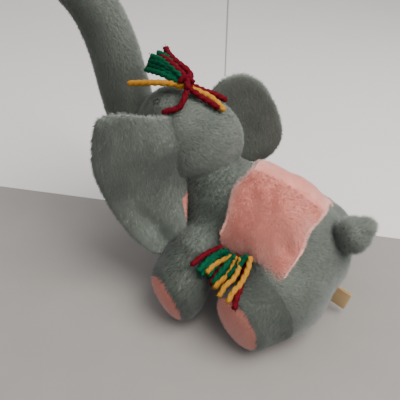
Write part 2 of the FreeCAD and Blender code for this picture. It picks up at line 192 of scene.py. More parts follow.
# ---------------------------------------------------------------- meshes
def make_mesh(name, points, faces, material, normals=None, uv=None, shade=None):
    """A mesh object from points in millimetres. faces is one array or several."""
    faces = [faces] if isinstance(faces, np.ndarray) else faces
    loops = np.concatenate([f.ravel() for f in faces])
    sizes = np.concatenate([np.full(len(f), f.shape[1]) for f in faces])
    me = bpy.data.meshes.new(name)
    me.vertices.add(len(points))
    me.vertices.foreach_set("co", (points * MM).astype(np.float32).ravel())
    me.loops.add(len(loops))
    me.loops.foreach_set("vertex_index", loops.astype(np.int32))
    me.polygons.add(len(sizes))
    me.polygons.foreach_set("loop_start", (np.cumsum(sizes) - sizes).astype(np.int32))
    me.update(calc_edges=True)
    me.shade_smooth()
    if uv is not None:
        layer = me.uv_layers.new(name="OFBake")
        layer.data.foreach_set("uv", uv[loops].astype(np.float32).ravel())
    if shade is not None:
        attribute = me.attributes.new("pile", "FLOAT", "POINT")
        attribute.data.foreach_set("value", shade.astype(np.float32))
    if normals is not None:
        me.normals_split_custom_set_from_vertices([tuple(n) for n in unit(normals)])
    me.materials.append(material)
    o = bpy.data.objects.new(name, me)
    bpy.context.scene.collection.objects.link(o)
    return o


# ---------------------------------------------------------------- materials
def plush(name, root, body, tip, patch=0.03, sheen=0.25):
    """Plush that is darker at the roots of its pile and pale at the tips, with soft patches."""
    m = bpy.data.materials.new(name)
    m.use_nodes = True
    nodes, links = m.node_tree.nodes, m.node_tree.links
    shader = nodes["Principled BSDF"]
    shader.inputs["Roughness"].default_value = 0.92
    shader.inputs["Specular IOR Level"].default_value = 0.15
    shader.inputs["Sheen Weight"].default_value = sheen
    shader.inputs["Sheen Roughness"].default_value = 0.5
    where = nodes.new("ShaderNodeTexCoord")
    pile = nodes.new("ShaderNodeAttribute")
    pile.attribute_name = "pile"
    ramp = nodes.new("ShaderNodeValToRGB")
    ramp.color_ramp.elements[0].color = (*root, 1)
    ramp.color_ramp.elements[1].color = (*tip, 1)
    middle = ramp.color_ramp.elements.new(0.5)
    middle.color = (*body, 1)
    cloud = nodes.new("ShaderNodeTexNoise")
    cloud.inputs["Scale"].default_value = 1 / patch
    cloud.inputs["Detail"].default_value = 4
    spread = nodes.new("ShaderNodeMapRange")
    spread.inputs["From Min"].default_value = 0.3
    spread.inputs["From Max"].default_value = 0.7
    spread.inputs["To Min"].default_value = -0.1
    spread.inputs["To Max"].default_value = 0.1
    add = nodes.new("ShaderNodeMath")
    add.operation = "ADD"
    links.new(where.outputs["Object"], cloud.inputs["Vector"])
    links.new(cloud.outputs["Fac"], spread.inputs["Value"])
    links.new(spread.outputs["Result"], add.inputs[0])
    links.new(pile.outputs["Fac"], add.inputs[1])
    links.new(add.outputs["Value"], ramp.inputs["Fac"])
    links.new(ramp.outputs["Color"], shader.inputs["Base Color"])
    return m


def plain(name, colour, second, scale, roughness=0.8, specular=0.3):
    """A matt material whose colour wanders between two near tones."""
    m = bpy.data.materials.new(name)
    m.use_nodes = True
    nodes, links = m.node_tree.nodes, m.node_tree.links
    shader = nodes["Principled BSDF"]
    shader.inputs["Roughness"].default_value = roughness
    shader.inputs["Specular IOR Level"].default_value = specular
    where = nodes.new("ShaderNodeTexCoord")
    cloud = nodes.new("ShaderNodeTexNoise")
    cloud.inputs["Scale"].default_value = scale
    cloud.inputs["Detail"].default_value = 3
    ramp = nodes.new("ShaderNodeValToRGB")
    ramp.color_ramp.elements[0].position = 0.35
    ramp.color_ramp.elements[0].color = (*colour, 1)
    ramp.color_ramp.elements[1].position = 0.65
    ramp.color_ramp.elements[1].color = (*second, 1)
    links.new(where.outputs["Object"], cloud.inputs["Vector"])
    links.new(cloud.outputs["Fac"], ramp.inputs["Fac"])
    links.new(ramp.outputs["Color"], shader.inputs["Base Color"])
    return m


GREY = plush("grey_plush", (0.070, 0.080, 0.067), (0.165, 0.185, 0.158), (0.31, 0.335, 0.295))
PINK = plush("pink_plush", (0.50, 0.15, 0.115), (0.76, 0.28, 0.22), (0.88, 0.56, 0.48))
RED = plain("red_yarn", (0.115, 0.003, 0.009), (0.07, 0.002, 0.006), 900, specular=0.06)
GREEN = plain("green_yarn", (0.002, 0.075, 0.034), (0.001, 0.045, 0.020), 900, specular=0.06)
YELLOW = plain("yellow_yarn", (0.42, 0.19, 0.022), (0.30, 0.13, 0.014), 900, specular=0.06)
TAG = plain("woven_tag", (0.62, 0.43, 0.22), (0.50, 0.33, 0.16), 1500)
EYE = plain("eye_black", (0.012, 0.01, 0.009), (0.02, 0.015, 0.012), 200, roughness=0.15, specular=0.5)
TABLE = plain("table_grey", (0.25, 0.23, 0.212), (0.242, 0.223, 0.206), 30, roughness=0.6)
WALL = plain("wall_white", (0.66, 0.63, 0.605), (0.65, 0.62, 0.595), 6, roughness=0.9)
GROOVE = plain("groove_grey", (0.35, 0.32, 0.30), (0.3, 0.28, 0.26), 60, roughness=0.9)


# ---------------------------------------------------------------- pile
def scatter(points, faces, count, rng):
    """Points spread evenly over a mesh, with smooth normals."""
    tris = np.concatenate([faces[:, [0, 1, 2]], faces[:, [0, 2, 3]]])
    normals = vertex_normals(points, faces)
    a, b, c = (points[tris[:, k]] for k in range(3))
    area = np.linalg.norm(np.cross(b - a, c - a), axis=1) / 2
    number = int(count * area.sum())
    pick = rng.choice(len(tris), number, p=area / area.sum())
    u, v = rng.random(number), rng.random(number)
    flip = u + v > 1
    u[flip], v[flip] = 1 - u[flip], 1 - v[flip]
    w = np.stack([1 - u - v, u, v], 1)[:, :, None]
    spots = (np.stack([a[pick], b[pick], c[pick]], 1) * w).sum(1)
    normal = unit((np.stack([normals[tris[pick, k]] for k in range(3)], 1) * w).sum(1))
    return spots, normal


def tufts(name, spots, normal, lay, length, material, rng, width=0.5, lean=0.7, shade=0.5,
          spread=0.3, sink=0.6):
    """Small three-sided tufts of pile. lay is the way they are brushed, lean how far they lie down."""
    n = len(spots)
    lay = lay - (lay * normal).sum(1, keepdims=True) * normal
    lay = unit(unit(lay) + spread * rng.normal(size=(n, 3)))
    lay = unit(lay - (lay * normal).sum(1, keepdims=True) * normal)
    lean = np.clip(np.broadcast_to(lean, n)[:, None] * rng.uniform(0.7, 1.3, (n, 1)), 0, 0.95)
    length = np.broadcast_to(length, n)[:, None] * rng.uniform(0.75, 1.2, (n, 1))
    width = np.broadcast_to(width, n)[:, None] * rng.uniform(0.7, 1.3, (n, 1))
    way = normal * np.sqrt(1 - lean**2) + lay * lean
    side = unit(np.cross(way, rng.normal(size=(n, 3))))
    other = np.cross(way, side)
    root = spots - normal * sink
    corners = [root + width * 0.58 * (side * math.cos(a) + other * math.sin(a))
               for a in (0, 2 * math.pi / 3, 4 * math.pi / 3)]
    points = np.stack([*corners, spots + way * length], 1).reshape(-1, 3)
    first = np.arange(n)[:, None] * 4
    faces = np.concatenate([first + np.array(f) for f in ((0, 1, 3), (1, 2, 3), (2, 0, 3))])
    tone = rng.normal(0, 0.05, n) + np.broadcast_to(shade, n)
    shades = np.stack([tone - 0.15, tone - 0.15, tone - 0.15, tone + 0.13], 1).ravel()
    facing = [unit(normal + 0.25 * lay + 0.35 * (c - root) / width + 0.1 * rng.normal(size=(n, 3)))
              for c in corners] + [unit(normal + 0.35 * lay)]
    across = math.ceil(math.sqrt(n))
    cell = np.stack([np.arange(n) % across, np.arange(n) // across], 1)[:, None, :]
    shape = np.array([(0.1, 0.1), (0.9, 0.1), (0.5, 0.9), (0.5, 0.4)])[None]
    uv = ((cell + shape) / across).reshape(-1, 2)
    return make_mesh(name, points, faces, material, np.stack(facing, 1).reshape(-1, 3), uv, shades)


DENSITY = 2.6  # tufts in a square millimetre


# ---------------------------------------------------------------- the forms
INSET = 3.5  # the cloth lies this far inside the tips of the pile
SIDES = {"left": 1, "right": -1}
TORSO_TURN = spin("X", -12)
HEAD_TURN = spin("Z", -15) @ spin("X", -25)
HEAD = np.array([-2, -107, 123])
HEAD_SEMI = np.array([43, 49, 43])
NECK = np.array([0, -83, 94])
LEGS = {
    "hind": {"hip": (58.6, 20.5, 33), "sole": (96, 4, 25), "facing": (0.9, -0.37, -0.2),
             "hip_radius": 31.5, "foot_radius": 29.5},
    "front": {"hip": (56, -56, 44), "sole": (101, -61, 21), "facing": (0.84, -0.44, -0.32),
              "hip_radius": 26, "foot_radius": 28},
}
FOOT_LENGTH = 15  # from the middle of a foot to the middle of its sole
SOLE_ROUNDING = 15


def leg_axis(kind, side):
    """A leg's hip, the way from it to the foot, the foot, the middle of the sole and its direction."""
    spec, mirror = LEGS[kind], np.array([SIDES[side], 1, 1])
    hip, sole = (np.array(spec[at], float) * mirror for at in ("hip", "sole"))
    facing = unit(spec["facing"]) * mirror
    foot = sole - facing * FOOT_LENGTH
    return hip, unit(foot - hip), foot, sole, facing


def torso(p):
    f = egg(p, CORE, np.array([54, 82, 56]), TORSO_TURN)
    f = join(f, egg(p, (0, -67, 74), np.array([39, 36, 42])), 14)
    f = join(f, np.linalg.norm(p - NECK, axis=1) - 31, 10)
    for sign in SIDES.values():
        f = join(f, np.linalg.norm(p - (sign * 36, 27, 36.6), axis=1) - 37, 16)
    return f + INSET


def leg(p, kind, side):
    hip, _, foot, sole, facing = leg_axis(kind, side)
    f = limb(p, hip, foot, LEGS[kind]["hip_radius"], LEGS[kind]["foot_radius"]) + INSET
    return trim(f, (p - sole) @ facing + INSET - 1, SOLE_ROUNDING)


def on_table(f, p):
    return trim(f, 1.2 - p[:, 2], 4)


CORE = np.array([0, -13, 56.0])  # the middle of the torso
SADDLE_FRONT, SADDLE_REAR = -46.5, 22.5
SADDLE_REACH = 84  # degrees down each side
CORNER = 9  # the radius of the cloth's corners


def saddle_ends(angle):
    """Where the cloth's front and rear edges lie along the back, at an angle round it."""
    down = smoothstep(np.abs(angle), 0.4, 1.4)
    return SADDLE_FRONT + 9.5 * down, SADDLE_REAR + 3 * down


def saddle_reach(y):
    """How far down the cloth hangs at each place along the back, as an angle from straight up."""
    reach = SADDLE_REACH - 8.5 * np.exp(-(((y - 1) / 9) ** 2)) - 4.5 * smoothstep(y, 2, 14)
    ends = np.clip(np.maximum(-37 + CORNER - y, y - (25.5 - CORNER)) / CORNER, 0, 1)
    return np.radians(reach - CORNER * (1 - np.sqrt(1 - ends**2 * 0.98)))


def on_torso(y, angle, height):
    """Points that lie height above the torso's cloth, at a distance y along it and an angle round it."""
    way = np.stack([np.sin(angle), 0 * angle, np.cos(angle)], 1) @ TORSO_TURN.T
    start = CORE + np.stack([0 * y, y - CORE[1], 0 * y], 1) @ TORSO_TURN.T
    near, far = np.full(len(y), 20.0), np.full(len(y), 90.0)
    for _ in range(30):
        mid = (near + far) / 2
        inside = on_table(torso(start + way * mid[:, None]), start + way * mid[:, None]) < height
        near, far = np.where(inside, mid, near), np.where(inside, far, mid)
    return start + way * near[:, None]


def under_saddle(p, margin=0.0):
    q = (p - CORE) @ TORSO_TURN
    y, angle = q[:, 1] + CORE[1], np.arctan2(np.abs(q[:, 0]), q[:, 2])
    front, rear = saddle_ends(angle)
    return (y > front + margin) & (y < rear - margin) & (angle < saddle_reach(y) - margin / 60)


def head(p):
    f = egg(p, HEAD, HEAD_SEMI, HEAD_TURN)
    return join(f, egg(p, (-6, -89, 122), np.array([36, 36, 35]), HEAD_TURN), 8) + 2.5


TRUNK = [(-10, -153, 114), (-10, -173, 122), (-10, -185, 150), (-8, -195, 184), (-4, -211, 216),
         (3, -234, 240)]
TRUNK_SEAM = [(8, -212, 236), (5, -200, 221), (3, -193, 210), (1, -187, 198), (-1, -181, 185),
              (0, -177, 172), (1, -174, 159), (3, -172, 146)]


def spline(points, count):
    """Evenly spaced points on a smooth curve through the given ones."""
    points = np.asarray(points, float)
    ends = np.vstack([2 * points[0] - points[1], points, 2 * points[-1] - points[-2]])
    out = []
    for k in range(len(points) - 1):
        p0, p1, p2, p3 = ends[k:k + 4]
        t = np.linspace(0, 1, 24, endpoint=False)[:, None]
        out.append(0.5 * (2 * p1 + (p2 - p0) * t + (2 * p0 - 5 * p1 + 4 * p2 - p3) * t**2
                          + (3 * p1 - p0 - 3 * p2 + p3) * t**3))
    fine = np.vstack(out + [points[-1:]])
    far = np.concatenate([[0], np.cumsum(np.linalg.norm(np.diff(fine, axis=0), axis=1))])
    at = np.linspace(0, far[-1], count)
    return np.stack([np.interp(at, far, fine[:, k]) for k in range(3)], 1)


TRUNK_LINE = spline(TRUNK, 40)


def seam_distance(p):
    """How far points are from the seam that runs along the trunk."""
    line = spline(TRUNK_SEAM, 60)
    near = np.full(len(p), 1e9)
    for k in range(len(line)):
        near = np.minimum(near, ((p - line[k]) ** 2).sum(1))
    return np.sqrt(near)


def trunk(p):
    f = np.full(len(p), 1e3)
    last = len(TRUNK_LINE) - 1
    for k in range(last):
        ra, rb = (25.5 - 4.8 * (j / last) ** 1.5 for j in (k, k + 1))
        f = np.minimum(f, limb(p, TRUNK_LINE[k], TRUNK_LINE[k + 1], ra, rb))
    return f + 2.5 + 1.3 * np.exp(-((seam_distance(p) / 2.2) ** 2))


# ---------------------------------------------------------------- covers with their pile
def cover(name, points, faces, material, lay, length, seed, density=1.0, bare=None, **look):
    """A cloth piece and the pile that grows from it, except where bare says there is none."""
    rng = np.random.default_rng(seed)
    cloth = make_mesh(name, points, faces, material, shade=np.full(len(points), 0.36))
    spots, normal = scatter(points, faces, DENSITY * density, rng)
    if bare is not None:
        left = ~bare(spots)
        spots, normal = spots[left], normal[left]
    look = {k: v(spots, normal) if callable(v) else v for k, v in look.items()}
    long = length(spots, normal) if callable(length) else length
    pile = tufts(name + "_pile", spots, normal, lay(spots, normal), long, material, rng, **look)
    return cloth, pile


def brushed(x, y, z):
    """A lay that is the same way everywhere."""
    return lambda spots, normal: np.broadcast_to(np.array([x, y, z], float), spots.shape)


STEP = 2.0


def body_field(p, legs):
    f = torso(p)
    out = f
    for kind, side in legs:
        out = np.minimum(out, join(f, leg(p, kind, side), 22))
    return on_table(out, p)


ALL_LEGS = [(kind, side) for kind in LEGS for side in SIDES]
BODY_LOW, BODY_HIGH = (-118, -125, -4), (118, 75, 130)
START, END = 4, 26  # the stretch of each leg's axis; each leg's own cover begins at START


def worn_and_shaded_neck(p):
    """1 on the neck and the shoulders, where the pile is worn and the knitted rows show, and where painted
    shade darkens it, 0 elsewhere.
    """
    return 1 - smoothstep(p[:, 1] + 0.25 * p[:, 2], -26, -12)


def rows_and_painted_shade(p, n):
    """The tone of the pile, with painted shade in it: a base darker than the head's, and the neck and
    shoulders darker still, where the knitted rows also show as short dashes.
    """
    along = p @ unit(np.array([0, 0.86, -0.5]))
    wave = np.sin(2 * math.pi * along / 3.7 + 1.6 * noise(p, 11, 8))
    broken = smoothstep(noise(p, 7, 9), -0.5, 0.5)
    soft = 0.06 * noise(p, 26, 4)
    # painted shade: a base of 0.38 against the head's 0.48, and 0.14 less over the neck and shoulders; the
    # dashes are the knitted rows
    return 0.38 + soft - worn_and_shaded_neck(p) * (0.14 + 0.22 * (wave > 0) * broken)


def in_leg(p, kind, side, start):
    hip, way, *_ = leg_axis(kind, side)
    return ((p - hip) @ way > start) & (leg(p, kind, side) < torso(p) + 4) & (p[:, 0] * SIDES[side] > 20)


def ride_both(pieces, body):
    for o in pieces:
        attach(o, body)


points, faces = surface(lambda p: body_field(p, ALL_LEGS), BODY_LOW, BODY_HIGH, STEP)
middle = points[faces].mean(1)
own = np.ones(len(faces), bool)
for kind, side in ALL_LEGS:
    own &= ~in_leg(middle, kind, side, START)
points, faces = keep_faces(points, faces, own)
body_lay = brushed(0, 1, -0.45)
# the torso's pile tone carries painted shade, darkest round the neck; the shorter pile there is the worn
# part
torso_pieces = cover("torso_cloth", points, faces, GREY, body_lay, lambda p, n: 4.2 - 1.2 * worn_and_shaded_neck(p), 1,
                     bare=lambda p: under_saddle(p, 3), shade=rows_and_painted_shade)
ride_both(torso_pieces, "torso")
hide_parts("torso_cover_belly", "torso_cover_left", "torso_cover_right", "torso_stuffing")

for number, (kind, side) in enumerate(ALL_LEGS):
    hip, way, _, sole, facing = leg_axis(kind, side)
    points, faces = surface(lambda p: body_field(p, [(kind, side)]), BODY_LOW, BODY_HIGH, STEP)
    middle = points[faces].mean(1)
    points, faces = keep_faces(points, faces, in_leg(middle, kind, side, START - 2))
    name = f"{kind}_leg_{side}"
    centred = points - (sole - facing * INSET)
    out = centred @ facing
    on_sole = np.linalg.norm(centred - out[:, None] * facing, axis=1) < LEGS[kind]["foot_radius"] - 5.5
    on_sole &= out > -10
    is_sole = on_sole[faces].all(1)
    for part, material, wanted in (("cloth", GREY, ~is_sole), ("sole", PINK, is_sole)):
        p, f = keep_faces(points, faces, wanted)
        # the legs' grey pile carries the same painted shade as the torso
        look = {"shade": rows_and_painted_shade if part == "cloth" else 0.45}
        pieces = cover(f"{name}_{part}", p, f, material, brushed(*(way + np.array([0, 0, -0.6]))), 4.2,
                       10 + number * 2 + (part == "sole"), **look)
        for o in pieces:
            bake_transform(o)
        if part == "cloth":
            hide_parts(f"{name}_cover", f"{name}_stuffing")
        else:
            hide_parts(f"{name}_sole")

points, faces = surface(head, HEAD - 62, HEAD + 62, STEP)
head_pieces = cover("head_cloth", points, faces, GREY, brushed(0.1, 1, -0.3), 4.2, 30,
                    shade=lambda p, n: 0.48 + 0.07 * noise(p, 24, 6))
ride_both(head_pieces, "head")
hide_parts("head_cover_left", "head_cover_right", "head_stuffing")

points, faces = surface(trunk, (-45, -265, 80), (35, -120, 270), STEP)
trunk_pieces = cover("trunk_cloth", points, faces, GREY, brushed(0, 0.3, -1), 4, 31,
                     shade=lambda p, n: 0.5 - 0.22 * np.exp(-((seam_distance(p) / 1.6) ** 2)))
for o in trunk_pieces:
    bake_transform(o)
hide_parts("trunk_cover", "trunk_stuffing")


# ---------------------------------------------------------------- ears
EARS = {
    "left": {"middle": (67, -110, 107), "turn": spin("Z", -28) @ spin("Y", 12), "heart": (-6, 3),
             "outline": [(18, 69), (25, 60), (31, 45), (35, 26), (34, 2), (29, -26), (22, -45), (13, -57),
                         (2, -61), (-20, -54), (-35, -39), (-45, -22), (-51, 10), (-50, 40), (-45, 50),
                         (-30, 54), (-15, 59), (3, 67)],
             "inner": (-44, 12)},
    "right": {"middle": (-64, -75, 122), "turn": spin("Z", -42) @ spin("Y", 34), "heart": (0, 0),
              "outline": [(41, 0), (38, 22), (29, 42), (17, 52), (4, 56), (-7, 56), (-19, 51), (-28, 41),
                          (-34, 28), (-36, 11), (-36, -8), (-33, -26), (-26, -42), (-17, -50),
                          (-6, -54), (6, -53), (18, -46), (30, -34), (38, -18)],
              "inner": (34, 0)},
}


def closed_spline(points, angles, heart):
    """The outline's points at the given angles round its heart."""
    points = np.asarray(points, float)
    n = len(points)
    t = np.linspace(0, 1, 12, endpoint=False)[:, None]
    fine = []
    for k in range(n):
        p0, p1, p2, p3 = (points[(k + j) % n] for j in (-1, 0, 1, 2))
        fine.append(0.5 * (2 * p1 + (p2 - p0) * t + (2 * p0 - 5 * p1 + 4 * p2 - p3) * t**2
                           + (3 * p1 - p0 - 3 * p2 + p3) * t**3))
    d = np.vstack(fine) - heart
    a = np.arctan2(d[:, 1], d[:, 0])
    order = np.argsort(a)
    far = np.interp(angles, a[order], np.linalg.norm(d, axis=1)[order], period=2 * math.pi)
    return np.stack([np.cos(angles) * far, np.sin(angles) * far], 1) + heart


def ear_bend(side, u, v):
    """How far an ear's middle sheet lies behind its plane."""
    if side == "right":
        return 0.004 * (u**2 + 0.5 * v**2) - 5
    over_leg = 0.010 * np.minimum(v, 0) ** 2
    fold = smoothstep(-v, 12, 38)
    valley = -4.5 * fold * np.exp(-(((u - 1 - 0.35 * (v + 40)) / 8) ** 2))
    lobe = 4.5 * fold * np.exp(-(((u + 19) / 12) ** 2))
    return over_leg + valley + lobe


def pressed(local):
    """How the left ear's upper inner corner is pressed back, slantwise, on to the head."""
    depth = 20 * smoothstep(local[:, 2], 14, 50) * smoothstep(-local[:, 0], 0, 45)
    return depth[:, None] * np.array([0.23, 0.76, 0.60])


def lining_roll(side, angle):
    """How far round the rim, in radians of its edge, the lining shows on the back."""
    if side == "right":
        return np.full(len(angle), -0.5)
    return 1.0 * np.exp(-(((np.degrees(angle) + 127) / 20) ** 2)) - 0.5


def ear_sheet(side, part, around=220, out=44):
    """An ear's back or lining, from its heart to the seam near the rim."""
    spec = EARS[side]
    angle = np.linspace(-math.pi, math.pi, around, endpoint=False)
    heart = np.array(spec["heart"], float)
    rim = closed_spline(spec["outline"], angle, heart) - heart
    rim *= (1 - 3.0 / np.linalg.norm(rim, axis=1))[:, None]
    seam = math.pi / 2 + lining_roll(side, angle)
    share = np.linspace(0, 1, out)[:, None] ** 0.85
    phi = share * seam if part == "lining" else math.pi - share * (math.pi - seam)
    rho = np.sin(phi)
    u = heart[0] + rho * rim[:, 0]
    v = heart[1] + rho * rim[:, 1]
    puff = 5.5 * np.sign(np.cos(phi)) * np.abs(np.cos(phi)) ** 0.75
    w = ear_bend(side, u, v) - puff
    local = np.stack([u, w, v], -1).reshape(-1, 3)
    if side == "left":
        local -= pressed(local)
    i = (np.arange(out - 1)[:, None] * around + np.arange(around)).ravel()
    j = (np.arange(out - 1)[:, None] * around + (np.arange(around) + 1) % around).ravel()
    quads = np.stack([i, j, j + around, i + around], 1)
    if part == "lining":
        quads = quads[:, ::-1]
    turn, middle = spec["turn"], np.array(spec["middle"], float)
    return local @ turn.T + middle, quads


for side in SIDES:
    spec = EARS[side]
    outward = spec["turn"] @ np.array([SIDES[side], 0, 0])
    for part in ("back", "lining"):
        points, faces = ear_sheet(side, part)
        material = GREY if part == "back" else PINK
        pieces = cover(f"ear_{side}_{part}_cloth", points, faces, material,
                       brushed(*(outward * 0.4 + np.array([0, 0, -1]))), 3.2,
                       40 + SIDES[side] + 5 * (part == "back"), spread=0.2, lean=0.82,
                       shade=lambda p, n: 0.43 + 0.09 * noise(p, 30, 7))
        for o in pieces:
            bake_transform(o)
        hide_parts(f"ear_{side}_{part}")
        if part == "back":
            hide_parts(f"ear_{side}_padding")

# ---------------------------------------------------------------- tail
def tail(p):
    f = egg(p, (0, 61, 85), np.array([15, 16, 17]))
    return join(f, egg(p, (-2, 69, 96), np.array([9, 9, 9])), 6) + INSET


points, faces = surface(tail, (-20, 40, 60), (20, 95, 115), 1.5)
tail_pieces = cover("tail_cloth", points, faces, GREY, brushed(0, 1, 0.5), 5.5, 50, spread=0.8)
ride_both(tail_pieces, "tail")
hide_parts("tail_cover", "tail_stuffing")


# ---------------------------------------------------------------- saddle cloth
def grid_edge(grid):
    """The indices round a grid's edge."""
    return np.concatenate([grid[0, :], grid[1:, -1], grid[-1, -2::-1], grid[-2:0:-1, 0]])


def saddle_grid(along=56, around=150):
    """The cloth's middle line of points: along the back by round it."""
    s, t = np.meshgrid(np.linspace(0, 1, along), np.linspace(-1, 1, around), indexing="ij")
    s, t = s.ravel(), t.ravel()
    angle = t * 1.4
    for _ in range(3):
        front, rear = saddle_ends(angle)
        y = front + (rear - front) * s + 1.2 * np.sin(t * 9 + 1) * np.abs(2 * s - 1)
        angle = t * saddle_reach(y)
    lift = 2.6 + 1.5 * noise(np.stack([y, 50 * angle, 0 * y], 1), 36, 5)
    return on_torso(y, angle, lift), along, around


middle_line, along, around = saddle_grid()
grid_index = np.arange(along * around).reshape(along, around)
corners = (grid_index[:-1, :-1], grid_index[1:, :-1], grid_index[1:, 1:], grid_index[:-1, 1:])
top_quads = np.stack(corners, -1).reshape(-1, 4)
up_way = vertex_normals(middle_line, top_quads)
if (up_way @ np.array([0, 0, 1])).mean() < 0:
    top_quads = top_quads[:, ::-1]
    up_way = -up_way
edge = grid_edge(grid_index)
upper, lower = middle_line + up_way * 0.7, middle_line - up_way * 0.7
following = np.roll(edge, -1)
rim = np.stack([edge, following, following + len(upper), edge + len(upper)], 1)
saddle_faces = np.concatenate([top_quads, top_quads[:, ::-1] + len(upper), rim])
saddle_points = np.concatenate([upper, lower])
saddle_shade = np.full(len(saddle_points), 0.45)
saddle = make_mesh("saddle_cloth", saddle_points, saddle_faces, PINK, shade=saddle_shade)
rng = np.random.default_rng(60)
spots, normal = scatter(upper, top_quads, DENSITY * 1.3, rng)
from_edge = np.linalg.norm(spots[:, None] - middle_line[edge][None, ::2], axis=2).min(1)
edge_near = np.minimum(from_edge / 9, 1)
q = (spots - CORE) @ TORSO_TURN
down = np.abs(np.arctan2(q[:, 0], q[:, 2]))
low_end = smoothstep(down, 0.9, 1.4)
ones = np.ones(len(spots))
saddle_lay = np.stack([np.sign(spots[:, 0]) * 0.6, 0.5 * ones, -0.8 * ones], 1)
saddle_tone = 0.44 + 0.10 * low_end + 0.16 * (1 - edge_near) + 0.05 * noise(spots, 20, 12)
saddle_pile = tufts("saddle_pile", spots, normal, saddle_lay, 3.6 + 1.2 * low_end, PINK, rng, width=0.55,
                    lean=0.7 - 0.15 * low_end, shade=saddle_tone, spread=0.35)
edge_points = middle_line[edge]
rows = middle_line.reshape(along, around, 3)
out_grid = np.zeros_like(rows)
out_grid[0] = rows[0] - rows[2]
out_grid[-1] = rows[-1] - rows[-3]
out_grid[:, 0] += unit(rows[:, 0] - rows[:, 2])
out_grid[:, -1] += unit(rows[:, -1] - rows[:, -3])
out_way = unit(out_grid.reshape(-1, 3)[edge])
pick = rng.integers(0, len(edge), 3200)
share = rng.random((len(pick), 1))
fringe_at = edge_points[pick] * (1 - share) + edge_points[(pick + 1) % len(edge)] * share
fringe_up = up_way[edge][pick]
fringe_at = fringe_at + fringe_up * rng.uniform(-0.5, 0.8, (len(pick), 1))
fringe = tufts("saddle_fringe", fringe_at, unit(out_way[pick] + 0.5 * fringe_up), fringe_up, 3.8, PINK, rng,
               width=0.55, lean=0.3, shade=0.72, spread=0.5)
for o in (saddle, saddle_pile, fringe):
    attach(o, "torso")
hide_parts("saddle_blanket")


# ---------------------------------------------------------------- yarn
def strand(path, radius, turns=0.16, ply=3, around=15, seed=0):
    """One length of twisted yarn along a path: points, quads and its open ends closed."""
    length = np.linalg.norm(np.diff(path, axis=0), axis=1).sum()
    line = spline(path, max(8, int(length)))
    tangent = unit(np.gradient(line, axis=0))
    side = unit(np.cross(tangent, (0.31, 0.2, 0.93)))
    other = np.cross(tangent, side)
    far = np.concatenate([[0], np.cumsum(np.linalg.norm(np.diff(line, axis=0), axis=1))])
    angle = np.linspace(0, 2 * math.pi, around, endpoint=False)
    twist = angle[None] * ply + far[:, None] * turns * 2 * math.pi + seed
    r = radius * (0.84 + 0.16 * np.cos(twist))
    taper = np.ones(len(line))
    taper[0] = taper[-1] = 0.55
    r = r * taper[:, None]
    ring = (line[:, None] + (side[:, None] * np.cos(angle)[None, :, None]
                             + other[:, None] * np.sin(angle)[None, :, None]) * r[:, :, None])
    points = np.concatenate([ring.reshape(-1, 3), line[[0]], line[[-1]]])
    i = (np.arange(len(line) - 1)[:, None] * around + np.arange(around)).ravel()
    j = (np.arange(len(line) - 1)[:, None] * around + (np.arange(around) + 1) % around).ravel()
    quads = np.stack([i, j, j + around, i + around], 1)
    k = np.arange(around)
    start_cap = np.stack([(k + 1) % around, k, np.full(around, len(points) - 2)], 1)
    last = (len(line) - 1) * around
    end_cap = np.stack([last + k, last + (k + 1) % around, np.full(around, len(points) - 1)], 1)
    return points, quads, np.concatenate([start_cap, end_cap])


def wisps(end, way, radius, rng, count=7, length=4.5):
    """The loose fibres at a cut end, as thin spikes."""
    out_points, out_faces = [], []
    for k in range(count):
        d = unit(unit(way) + 0.45 * rng.normal(size=3))
        side = unit(np.cross(d, rng.normal(size=3)))
        other = np.cross(d, side)
        root = end - unit(way) * 1.5 + rng.normal(size=3) * radius * 0.35
        corners = [root + 0.45 * (side * math.cos(a) + other * math.sin(a)) for a in (0, 2.1, 4.2)]
        out_points += corners + [root + d * length * rng.uniform(0.6, 1.2)]
        out_faces += [[4 * k, 4 * k + 1, 4 * k + 3], [4 * k + 1, 4 * k + 2, 4 * k + 3],
                      [4 * k + 2, 4 * k, 4 * k + 3]]
    return np.array(out_points), np.array(out_faces)


def bunch(name, paths, material, body, seed, radius, frayed=()):
    """Several strands of one colour as one piece."""
    rng = np.random.default_rng(seed)
    all_points, quads, tris, base = [], [], [], 0
    for k, path in enumerate(paths):
        path = np.asarray(path, float)
        points, four, three = strand(path, radius * rng.uniform(0.92, 1.05), seed=rng.uniform(0, 6))
        all_points.append(points)
        quads.append(four + base)
        tris.append(three + base)
        base += len(points)
        fibres, length = (11, 8.0) if k in frayed else (7, 3.2)
        points, three = wisps(path[-1], path[-1] - path[-2], radius, rng, fibres, length)
        all_points.append(points)
        tris.append(three + base)
        base += len(points)
    o = make_mesh(name, np.concatenate(all_points), [np.concatenate(quads), np.concatenate(tris)], material)
    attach(o, body)
    return o


def settle(path, field, gap, count=9):
    """A path pushed out of a field so that it lies gap above it."""
    line = spline(path, count)
    for _ in range(6):
        f = field(line) - gap
        low = f < 0
        g = slope(field, line)
        line[low] -= (g * (f / np.maximum((g * g).sum(1), 1e-6))[:, None])[low]
    return line


def near_body(p):
    return body_field(p, ALL_LEGS)


